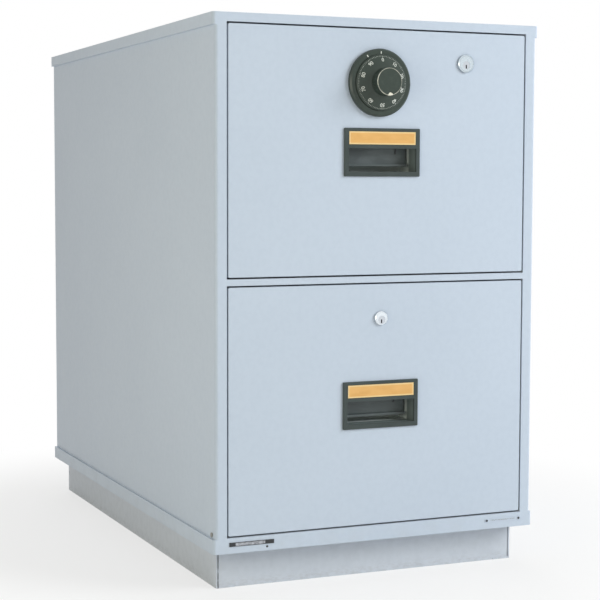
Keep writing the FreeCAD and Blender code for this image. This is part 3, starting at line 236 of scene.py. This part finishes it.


# Recessed handles: black moulded housings with a fine spark-eroded grain, duller in the recess. The
# recess is painted greyer and the space behind the latch lever palest, as painted light that lifts
# their shade. The lever is die cast and coated satin black, and a steel spring closes it.

moulded = Finish("moulded_black_housing", IOR=1.4)
bezel_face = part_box("upper_handle_housing")[0].y
recess_start, recess_full = bezel_face + 0.0012, bezel_face + 0.0045
room_start, room_full = bezel_face + 0.0180, bezel_face + 0.0240
recess = moulded.ramp(moulded.axis("Y"), recess_start, recess_full)
outside = moulded.mix(moulded.ramp(moulded.grain(35.0, 3.0), 0.3, 0.7),
                      rgb(0.046, 0.060, 0.058), rgb(0.058, 0.074, 0.073))
room_painted_light = moulded.ramp(moulded.axis("Y"), room_start, room_full)
# Painted light: the recess is painted greyer, and the space behind the lever paler still, to lift
# their shade.
inside = moulded.mix(room_painted_light, rgb(0.150, 0.182, 0.180), rgb(0.62, 0.68, 0.67))
moulded.feed("Base Color", moulded.mix(recess, outside, inside))
moulded.feed("Roughness", 0.38 + 0.16 * moulded.grain(80.0, 2.0) + 0.2 * recess)
moulded.bump(moulded.grain(1500.0, 2.0), 0.0001, 0.4)
dress(moulded, "upper_handle_housing", "lower_handle_housing")

lever_coat = Finish("satin_black_lever", IOR=1.5)
lever_rub = lever_coat.ramp(lever_coat.grain(70.0, 5.0, (0.5, 1.0, 1.0)), 0.5, 0.75)
lever_coat.feed("Base Color", lever_coat.mix(lever_rub, rgb(0.105, 0.128, 0.132),
                                             rgb(0.138, 0.166, 0.172)))
lever_coat.feed("Roughness", 0.46 - 0.16 * lever_rub)
lever_coat.bump(lever_coat.grain(900.0, 2.0), 0.0001, 0.3)
dress(lever_coat, "upper_latch_lever", "lower_latch_lever")

spring_steel = Finish("blackened_spring_wire", Metallic=0.6)
drawn = spring_steel.grain(700.0, 2.0)
spring_steel.feed("Base Color", spring_steel.mix(drawn, rgb(0.060, 0.062, 0.064),
                                                 rgb(0.035, 0.036, 0.038)))
spring_steel.feed("Roughness", 0.35 + 0.15 * drawn)
dress(spring_steel, "upper_lever_spring", "lower_lever_spring")
dress(zinc, "upper_catch", "lower_catch")


# Label cards: amber card in the window of each handle.
# A paler worn rim runs round each card, and the card's fibres give it a faint cloudiness.

rim_width = 0.0022
for level in ("upper", "lower"):
    low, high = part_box(level + "_label_card")
    middle, half = (low + high) / 2, (high - low) / 2
    card = Finish(level + "_amber_card", Roughness=0.5, Coat_Weight=0.25, Coat_Roughness=0.2)
    from_sides = half.x - abs(card.axis("X") - middle.x)
    from_ends = half.z - abs(card.axis("Z") - middle.z)
    from_edge = from_sides.math("MINIMUM", from_sides, from_ends)
    edge = 1.0 - card.ramp(from_edge, rim_width * 0.6, rim_width)
    fibre = card.ramp(card.grain(120.0, 5.0, (0.4, 1.0, 1.0)), 0.3, 0.75)
    amber = card.mix(fibre, rgb(0.80, 0.46, 0.155), rgb(0.73, 0.40, 0.12))
    card.feed("Base Color", card.mix(edge, amber, rgb(0.86, 0.62, 0.30)))
    card.bump(card.grain(900.0, 3.0), 0.00005, 0.4)
    dress(card, level + "_label_card")


# Key locks: turned and polished chrome barrels with a plug that turns in the bore.
# The faces keep a turned groove and faint rings from the lathe. The blue tint of barrels and plugs,
# and the lower face painted brighter than the upper, are painted reflection. The darkened groove
# and edge rim are painted shade, and the keyway is painted dark past the plug's face as shade.

def from_axis(finish, centre):
    """Distance from the front-to-back line through a centre."""
    offset = finish.node("ShaderNodeVectorMath", {"operation": "SUBTRACT"},
                         {0: finish.place, 1: (centre.x, 0.0, centre.z)})
    flat = finish.node("ShaderNodeVectorMath", {"operation": "MULTIPLY"},
                       {0: offset, 1: (1.0, 0.0, 1.0)})
    return finish.node("ShaderNodeVectorMath", {"operation": "LENGTH"}, {0: flat}, "Value")


def lathe_rings(radius, closeness):
    """Ripples round the centre, closer together for a higher number."""
    return radius.finish.node("ShaderNodeMath", {"operation": "SINE"}, {0: radius * closeness})


# Painted reflection: each face is tinted blue, and the lower one is painted brighter than the
# upper.
for level, reach, dull, bright, groove_painted_shade in (
        ("upper", 0.0115, rgb(0.62, 0.71, 0.77), rgb(0.69, 0.78, 0.83), 0.5),
        ("lower", 0.0092, rgb(0.80, 0.87, 0.93), rgb(0.88, 0.94, 0.98), 0.25)):
    low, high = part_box(level + "_lock_barrel")
    chrome = Finish(level + "_turned_chrome", Metallic=1.0)
    radius = from_axis(chrome, (low + high) / 2)
    # Painted shade: the groove and the rim at the edge of the face are darkened.
    groove = (chrome.ramp(radius, reach - 0.0021, reach - 0.0018)
              * (1.0 - chrome.ramp(radius, reach - 0.0016, reach - 0.0013)))
    rim = chrome.ramp(radius, reach - 0.0007, reach - 0.0003)
    haze = chrome.grain(260.0, 3.0)
    chrome.feed("Base Color", chrome.mix(groove * groove_painted_shade + rim * 0.5, chrome.mix(haze, dull, bright),
                                         rgb(0.24, 0.26, 0.30)))
    chrome.feed("Roughness", 0.2 + 0.14 * haze + 0.2 * groove)
    chrome.bump(lathe_rings(radius, 12000.0) * 0.1 - groove, 0.00006, 0.5)
    dress(chrome, level + "_lock_barrel")

plug = Finish("key_plug_chrome")
plug_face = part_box("upper_key_plug")[0].y
# Painted shade: the keyway is dark past the plug's face.
keyway = plug.ramp(plug.axis("Y"), plug_face + 0.0001, plug_face + 0.0006)
brushed = plug.grain(900.0, 2.0, (1.0, 1.0, 0.1))
# Painted reflection: the plug is tinted blue like the faces.
plug_tone = plug.mix(brushed, rgb(0.70, 0.75, 0.80), rgb(0.58, 0.62, 0.67))
plug.feed("Base Color", plug.mix(keyway, plug_tone, rgb(0.030, 0.032, 0.036)))
plug.feed("Metallic", 1.0 - keyway)
plug.feed("Roughness", 0.24 + 0.12 * brushed + 0.3 * keyway)
plug.bump(brushed, 0.00002, 0.4)
dress(plug, "upper_key_plug", "lower_key_plug")


# Combination dial: a spun black dial and knob in a fixed black ring.
# White numbers and graduations are filled into the dial's sloping flank.

def spot(finish, place, reach):
    """A ragged patch round a place: 1 inside and 0 outside."""
    away = finish.node("ShaderNodeVectorMath", {"operation": "DISTANCE"},
                       {0: finish.place, 1: place}, "Value")
    return 1.0 - finish.ramp(away + 0.0016 * finish.grain(700.0, 3.0), reach, reach + 0.0008)


def spun_black(name, centre, tone, roughness):
    """Black enamel on a turned face: rings round the centre and a bright metal patch at the knob's
    foot, a painted highlight.
    """
    enamel = Finish(name, IOR=1.45, Coat_Weight=0.08, Coat_Roughness=0.15)
    worn = enamel.ramp(enamel.grain(140.0, 4.0), 0.45, 0.8)
    # Painted highlight: a bright metal patch at the foot of the knob stands in for a glint.
    painted_glint = spot(enamel, painted_glint_centre, 0.0034)
    coated = enamel.mix(worn * 0.6, tone, rgb(0.050, 0.068, 0.056))
    enamel.feed("Base Color", enamel.mix(painted_glint, coated, rgb(0.86, 0.84, 0.70)))
    enamel.feed("Metallic", 0.8 * painted_glint)
    enamel.feed("Roughness", roughness + 0.14 * worn - 0.1 * painted_glint)
    enamel.bump(lathe_rings(from_axis(enamel, centre), 9000.0), 0.00003, 0.25)
    return enamel


dial_low, dial_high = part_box("combination_dial")
dial_centre = (dial_low + dial_high) / 2
knob_front = dial_low.y
# Centre of the painted highlight at the foot of the knob.
painted_glint_centre = (dial_centre.x + 0.001, knob_front + 0.0008, dial_centre.z - 0.0163)
dial_enamel = spun_black("dial_enamel", dial_centre, rgb(0.031, 0.046, 0.037), 0.36)
dress(dial_enamel, "combination_dial", "dial_ring")
dress(zinc, "dial_spindle")

mount_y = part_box("dial_ring")[1].y
flank_outer = Vector((0.0331, mount_y - 0.0089))
flank_inner = Vector((0.0190, mount_y - 0.0140))
fall = (flank_outer - flank_inner).normalized()


def add_piece(name, mesh, body, finish):
    """A piece made here: it rides on a CAD body."""
    piece = bpy.data.objects.new(name, mesh)
    bpy.context.scene.collection.objects.link(piece)
    mesh.materials.append(finish.material)
    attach(piece, body)
    return piece


def directions(turn):
    """The ways outward and clockwise on the dial, at a turn from its top."""
    return (Vector((math.sin(turn), 0.0, math.cos(turn))),
            Vector((math.cos(turn), 0.0, -math.sin(turn))))


def on_flank(turn, distance, side, up, lift):
    """A place on the sloping flank: turned clockwise from the top, at a distance from the axis."""
    outward, clockwise = directions(turn)
    share = (distance - flank_inner.x) / (flank_outer.x - flank_inner.x)
    start = Vector((dial_centre.x, flank_inner.y + share * (flank_outer.y - flank_inner.y),
                    dial_centre.z))
    along = outward * fall.x + Vector((0.0, fall.y, 0.0))
    normal = outward * fall.y - Vector((0.0, fall.x, 0.0))
    return start + outward * distance + clockwise * side + along * up + normal * lift


mark_enamel = Finish("white_filled_marks", Roughness=0.45)
mark_wear = mark_enamel.ramp(mark_enamel.grain(900.0, 3.0), 0.5, 0.8)
mark_enamel.feed("Base Color", mark_enamel.mix(mark_wear, rgb(0.72, 0.75, 0.70),
                                               rgb(0.52, 0.55, 0.50)))
mark_enamel.bump(mark_wear, 0.00005, 0.3)
mark_height, mark_depth = 0.00012, 0.00005


def add_mark(marks, raised, sunk):
    """A thin filled mark: four raised corners joined to four that sink into the face."""
    raised = [marks.verts.new(place) for place in raised]
    sunk = [marks.verts.new(place) for place in sunk]
    marks.faces.new(raised)
    for first in range(4):
        second = (first + 1) % 4
        marks.faces.new((raised[second], raised[first], sunk[first], sunk[second]))


def finished_mesh(name, built):
    """The mesh of a shape that is complete."""
    mesh = bpy.data.meshes.new(name)
    built.to_mesh(mesh)
    built.free()
    return mesh


divisions = 100
graduation_circle = 0.0328
graduations = bmesh.new()
for step in range(divisions):
    length = 0.0020 if step % 10 == 0 else 0.0016 if step % 5 == 0 else 0.0011
    side = 0.00021 if step % 10 == 0 else 0.00014
    turn = math.radians(step * 360.0 / divisions)
    corners = ((-side, -length), (side, -length), (side, 0.0), (-side, 0.0))
    add_mark(graduations, *[[on_flank(turn, graduation_circle, *corner, lift) for corner in corners]
                            for lift in (mark_height, -mark_depth)])
bmesh.ops.recalc_face_normals(graduations, faces=graduations.faces)
add_piece("dial_graduations", finished_mesh("dial_graduations", graduations), "dial", mark_enamel)

number_circle = 0.0258
numbers = bmesh.new()
for step in range(0, divisions, 10):
    digits = bpy.data.curves.new("dial_number", "FONT")
    digits.body = str(step)
    digits.align_x = "CENTER"
    digits.size = 0.0064
    digits.offset = 0.00008
    digits.extrude = 0.00008
    flat_number = bpy.data.objects.new("dial_number", digits)
    number_mesh = bpy.data.meshes.new_from_object(flat_number)
    turn = math.radians(step * 360.0 / divisions)
    for vertex in number_mesh.vertices:
        side, up, lift = vertex.co
        vertex.co = on_flank(turn, number_circle, side, up, lift + mark_height / 2)
    numbers.from_mesh(number_mesh)
    bpy.data.objects.remove(flat_number)
add_piece("dial_numbers", finished_mesh("dial_numbers", numbers), "dial", mark_enamel)


# Index marks: two short lines filled in white on the fixed ring, one at the top and one to
# its left.

ring_face_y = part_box("dial_ring")[0].y
index_inner, index_outer, index_side = 0.0356, 0.0386, 0.0006
index_marks = bmesh.new()
for turn in (0.0, math.radians(-30.0)):
    outward, clockwise = directions(turn)
    hub = Vector((dial_centre.x, ring_face_y, dial_centre.z))
    flat = [hub + outward * distance + clockwise * side
            for distance, side in ((index_inner, -index_side), (index_inner, index_side),
                                   (index_outer, index_side), (index_outer, -index_side))]
    add_mark(index_marks, *[[place + Vector((0.0, -lift, 0.0)) for place in flat]
                            for lift in (mark_height, -mark_depth)])
bmesh.ops.recalc_face_normals(index_marks, faces=index_marks.faces)
add_piece("dial_index_marks", finished_mesh("dial_index_marks", index_marks), "upper_drawer",
          mark_enamel)


# Knob of the dial: a knurled sleeve round it, enamelled with the dial, and a thin worn nickel
# ring pressed on at its front edge.

def lathe_mesh(name, rings, segments, centre):
    """A closed surface of revolution about Y. A ring is (radius at even steps, at odd steps, y)."""
    built = bmesh.new()
    circles = []
    for even, odd, y in rings:
        circle = []
        for step in range(segments):
            turn = 2 * math.pi * step / segments
            radius = odd if step % 2 else even
            circle.append(built.verts.new((centre.x + radius * math.sin(turn), y,
                                           centre.z + radius * math.cos(turn))))
        circles.append(circle)
    for first, second in zip(circles, circles[1:] + circles[:1]):
        for step in range(segments):
            after = (step + 1) % segments
            built.faces.new((first[step], first[after], second[after], second[step]))
    bmesh.ops.recalc_face_normals(built, faces=built.faces)
    return finished_mesh(name, built)


knurl_ridges = 59
sleeve, valley, shoulder, crest = 0.0168, 0.0170, 0.0172, 0.0176
knurl = lathe_mesh("knob_knurling", [
    (sleeve, sleeve, mount_y - 0.0158), (shoulder, valley, mount_y - 0.0162),
    (crest, valley, mount_y - 0.0172), (crest, valley, knob_front + 0.0034),
    (shoulder, valley, knob_front + 0.0024), (sleeve, sleeve, knob_front + 0.0020)],
    2 * knurl_ridges, dial_centre)
add_piece("knob_knurling", knurl, "dial", dial_enamel)

bead_circle, bead_radius, bead_steps = 0.0163, 0.0006, 12
bead = []
for step in range(bead_steps):
    turn = 2 * math.pi * step / bead_steps
    reach = bead_circle + bead_radius * math.cos(turn)
    bead.append((reach, reach, knob_front + 0.0009 + bead_radius * math.sin(turn)))
ring_mesh = lathe_mesh("knob_nickel_ring", bead, 96, dial_centre)
ring_mesh.shade_smooth()
nickel = Finish("worn_nickel_ring", Metallic=1.0)
rubbed = nickel.ramp(nickel.grain(130.0, 3.0), 0.42, 0.62)
aged = nickel.mix(rubbed, rgb(0.36, 0.37, 0.31), rgb(0.66, 0.65, 0.55))
# Painted highlight: the ring is painted bright at the foot of the knob, next to the dial's patch.
nickel.feed("Base Color", nickel.mix(spot(nickel, painted_glint_centre, 0.0036), aged, rgb(0.92, 0.90, 0.80)))
nickel.feed("Roughness", 0.32 - 0.14 * rubbed)
add_piece("knob_nickel_ring", ring_mesh, "dial", nickel)


# Combination lock behind the head: a die-cast case with a zinc-plated cover, and the wheels, the
# bolt and its lever in brass.

die_cast = Finish("die_cast_case", Metallic=1.0)
skin = die_cast.ramp(die_cast.grain(220.0, 4.0), 0.35, 0.7)
die_cast.feed("Base Color", die_cast.mix(skin, rgb(0.50, 0.49, 0.46), rgb(0.40, 0.39, 0.37)))
die_cast.feed("Roughness", 0.42 + 0.18 * skin)
die_cast.bump(skin, 0.0001, 0.4)
dress(die_cast, "lock_case")
dress(zinc, "lock_cover")

brass = Finish("turned_brass", Metallic=1.0)
tarnish = brass.ramp(brass.grain(180.0, 4.0), 0.4, 0.75)
brass.feed("Base Color", brass.mix(tarnish, rgb(0.78, 0.58, 0.27), rgb(0.58, 0.41, 0.18)))
brass.feed("Roughness", 0.24 + 0.2 * tarnish)
brass.bump(brass.grain(1200.0, 1.0), 0.00003, 0.3)
dress(brass, "wheel_one", "wheel_two", "wheel_three", "lock_bolt", "lock_lever")


# Trim on the front frame: an aluminium strip with dark ends and a mottled bright band at the lower
# left, a small dark screw under it, and at the lower right a thin painted plate with a faint broken
# line along its middle and two dark rivets.

strip_low, strip_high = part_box("trim_strip")
strip = Finish("bare_aluminium_strip")
left_end, right_end = strip_low.x + 0.008, strip_high.x - 0.012
bright = (strip.ramp(strip.axis("X"), left_end - 0.0005, left_end + 0.0005)
          * (1.0 - strip.ramp(strip.axis("X"), right_end - 0.0005, right_end + 0.0005)))
from_centre = abs(strip.axis("Z") - (strip_low.z + strip_high.z) / 2)
band = 1.0 - strip.ramp(from_centre, 0.0011, 0.0021)
speck = strip.ramp(strip.grain(1100.0, 2.0, (0.18, 1.0, 1.0)), 0.36, 0.64)
silver = strip.mix(speck, rgb(0.58, 0.60, 0.64), rgb(0.26, 0.27, 0.30))
strip.feed("Base Color", strip.mix(bright * (0.2 + 0.8 * band), rgb(0.030, 0.032, 0.036),
                                   silver))
strip.feed("Metallic", 0.8 * bright)
strip.feed("Roughness", 0.34 + 0.2 * speck)
strip.bump(speck, 0.00004, 0.4)
dress(strip, "trim_strip")

plate_low, plate_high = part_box("name_plate")
plate = Finish("painted_plate", IOR=1.46)
plate_middle = (plate_low + plate_high) / 2
rivet_reach = (plate_high.x - plate_low.x) / 2 - 0.0025
rivet_radius = 0.0015
from_middle = abs(plate.axis("X") - plate_middle.x)
above_middle = plate.axis("Z") - plate_middle.z
from_rivet = ((from_middle - rivet_reach) ** 2.0 + above_middle ** 2.0) ** 0.5
riveted = 1.0 - plate.ramp(from_rivet, 0.9 * rivet_radius, 1.1 * rivet_radius)
along = 1.0 - plate.ramp(from_middle, rivet_reach - 0.0060, rivet_reach - 0.0050)
level_line = 1.0 - plate.ramp(abs(above_middle), 0.0006, 0.0010)
worn_line = along * level_line * plate.ramp(plate.grain(800.0, 3.0), 0.35, 0.65)
plate_tone = plate.mix(worn_line, rgb(0.540, 0.610, 0.710), rgb(0.30, 0.32, 0.36))
plate.feed("Base Color", plate.mix(riveted, plate_tone, rgb(0.050, 0.052, 0.058)))
plate.feed("Metallic", 0.5 * riveted)
plate.feed("Roughness", 0.42 + 0.12 * plate.grain(120.0, 2.0) - 0.08 * riveted)
plate.bump(plate.grain(620.0, 2.0) - worn_line, 0.00008, 0.35)
dress(plate, "name_plate")

blackened = Finish("blackened_screw", Metallic=0.6)
blackened.feed("Base Color", blackened.mix(blackened.grain(600.0, 3.0),
                                           rgb(0.060, 0.062, 0.066), rgb(0.12, 0.12, 0.125)))
blackened.feed("Roughness", 0.35 + 0.2 * blackened.grain(300.0, 2.0))

painted_over = Finish("painted_over_screws", Roughness=0.5)
painted_over.feed("Base Color", painted_over.mix(painted_over.grain(900.0, 3.0),
                                                 rgb(0.36, 0.37, 0.37), rgb(0.22, 0.21, 0.19)))
painted_over.bump(painted_over.grain(700.0, 2.0), 0.0001, 0.4)
dress(painted_over, "frame_screws")

screw_at = Vector((strip_high.x - 0.009, 0.0, strip_low.z - 0.0035))
frame_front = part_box("front_frame")[0].y
dome = lathe_mesh("strip_screw", [
    (0.0002, 0.0002, frame_front - 0.0007), (0.0009, 0.0009, frame_front - 0.0006),
    (0.0014, 0.0014, frame_front - 0.0003), (0.0015, 0.0015, frame_front + 0.0002),
    (0.0002, 0.0002, frame_front + 0.0002)], 24, screw_at)
dome.shade_smooth()
add_piece("strip_screw", dome, "cabinet", blackened)


# Studio: a pale floor that fades to plain white away from the cabinet, a white backdrop from the
# world, four soft lamps and the camera.

floor_half = 14.0
floor_mesh = bpy.data.meshes.new("floor")
floor_mesh.from_pydata([(-floor_half, -floor_half, 0.0), (floor_half, -floor_half, 0.0),
                        (floor_half, floor_half, 0.0), (-floor_half, floor_half, 0.0)],
                       [], [(0, 1, 2, 3)])
floor = bpy.data.objects.new("floor", floor_mesh)
bpy.context.scene.collection.objects.link(floor)
pale = Finish("pale_floor", Base_Color=rgb(0.88, 0.88, 0.88), Roughness=0.9)
distance = pale.node("ShaderNodeVectorMath", {"operation": "LENGTH"}, {0: pale.place}, "Value")
seen = pale.node("ShaderNodeMath", {"operation": "MAXIMUM"},
                 {0: pale.node("ShaderNodeLightPath", {}, {}, "Is Camera Ray"),
                  1: pale.node("ShaderNodeLightPath", {}, {}, "Is Glossy Ray")})
glow = pale.node("ShaderNodeEmission", {}, {"Color": rgb(1.0, 1.0, 1.0), "Strength": 1.0})
white_share = 0.66 + 0.34 * pale.ramp(distance, 0.40, 0.80)
faded = pale.node("ShaderNodeMixShader", {},
                  {0: seen * white_share, 1: Socket(pale, pale.shader.outputs[0]), 2: glow})
pale.tree.links.new(faded.socket, pale.tree.nodes["Material Output"].inputs["Surface"])
floor_mesh.materials.append(pale.material)

world = bpy.data.worlds.new("studio")
bpy.context.scene.world = world
world.use_nodes = True
world_nodes, world_links = world.node_tree.nodes, world.node_tree.links
soft = world_nodes["Background"]
soft.inputs["Color"].default_value = rgb(1.0, 0.99, 0.92)
soft.inputs["Strength"].default_value = 0.29
white = world_nodes.new("ShaderNodeBackground")
white.inputs["Color"].default_value = rgb(1.0, 1.0, 1.0)
white.inputs["Strength"].default_value = 1.0
path = world_nodes.new("ShaderNodeLightPath")
either = world_nodes.new("ShaderNodeMath")
either.operation = "MAXIMUM"
world_links.new(path.outputs["Is Camera Ray"], either.inputs[0])
world_links.new(path.outputs["Is Glossy Ray"], either.inputs[1])
choose = world_nodes.new("ShaderNodeMixShader")
world_links.new(either.outputs[0], choose.inputs[0])
world_links.new(soft.outputs[0], choose.inputs[1])
world_links.new(white.outputs[0], choose.inputs[2])
world_links.new(choose.outputs[0], world_nodes["World Output"].inputs["Surface"])


def lamp(name, place, target, size, watts, tint, glossy):
    """A soft square lamp that faces its target. Only a glossy one shows in reflections."""
    light = bpy.data.lights.new(name, "AREA")
    light.color = tint
    light.shape = "SQUARE"
    light.size = size
    light.energy = watts
    holder = bpy.data.objects.new(name, light)
    holder.location = place
    holder.rotation_euler = (Vector(target) - Vector(place)).to_track_quat("-Z", "Y").to_euler()
    holder.visible_glossy = glossy
    bpy.context.scene.collection.objects.link(holder)


lamp("key_lamp", (2.1, -2.0, 1.6), (0.1, -0.3, 0.35), 1.6, 71.0, (0.945, 0.98, 1.0), False)
lamp("side_lamp", (-1.45, -1.0, 0.55), (-0.2, -0.25, 0.35), 0.9, 7.0, (1.0, 0.965, 0.80), True)
lamp("back_lamp", (0.6, 2.9, 1.5), (0.0, 0.2, 0.35), 1.6, 34.0, (1.0, 1.0, 1.0), False)
lamp("top_lamp", (0.0, 0.1, 2.6), (0.0, 0.0, 0.7), 1.0, 7.0, (1.0, 1.0, 1.0), False)

camera_data = bpy.data.cameras.new("camera")
camera_data.lens = 93.4
camera_data.shift_x = 0.05
camera = bpy.data.objects.new("camera", camera_data)
camera.location = (-0.8842, -2.1004, 0.5005)
camera.rotation_euler = Euler([math.radians(turn) for turn in (85.74, -0.08, -22.77)])
bpy.context.scene.collection.objects.link(camera)
bpy.context.scene.camera = camera
bpy.context.scene.view_settings.view_transform = "Standard"
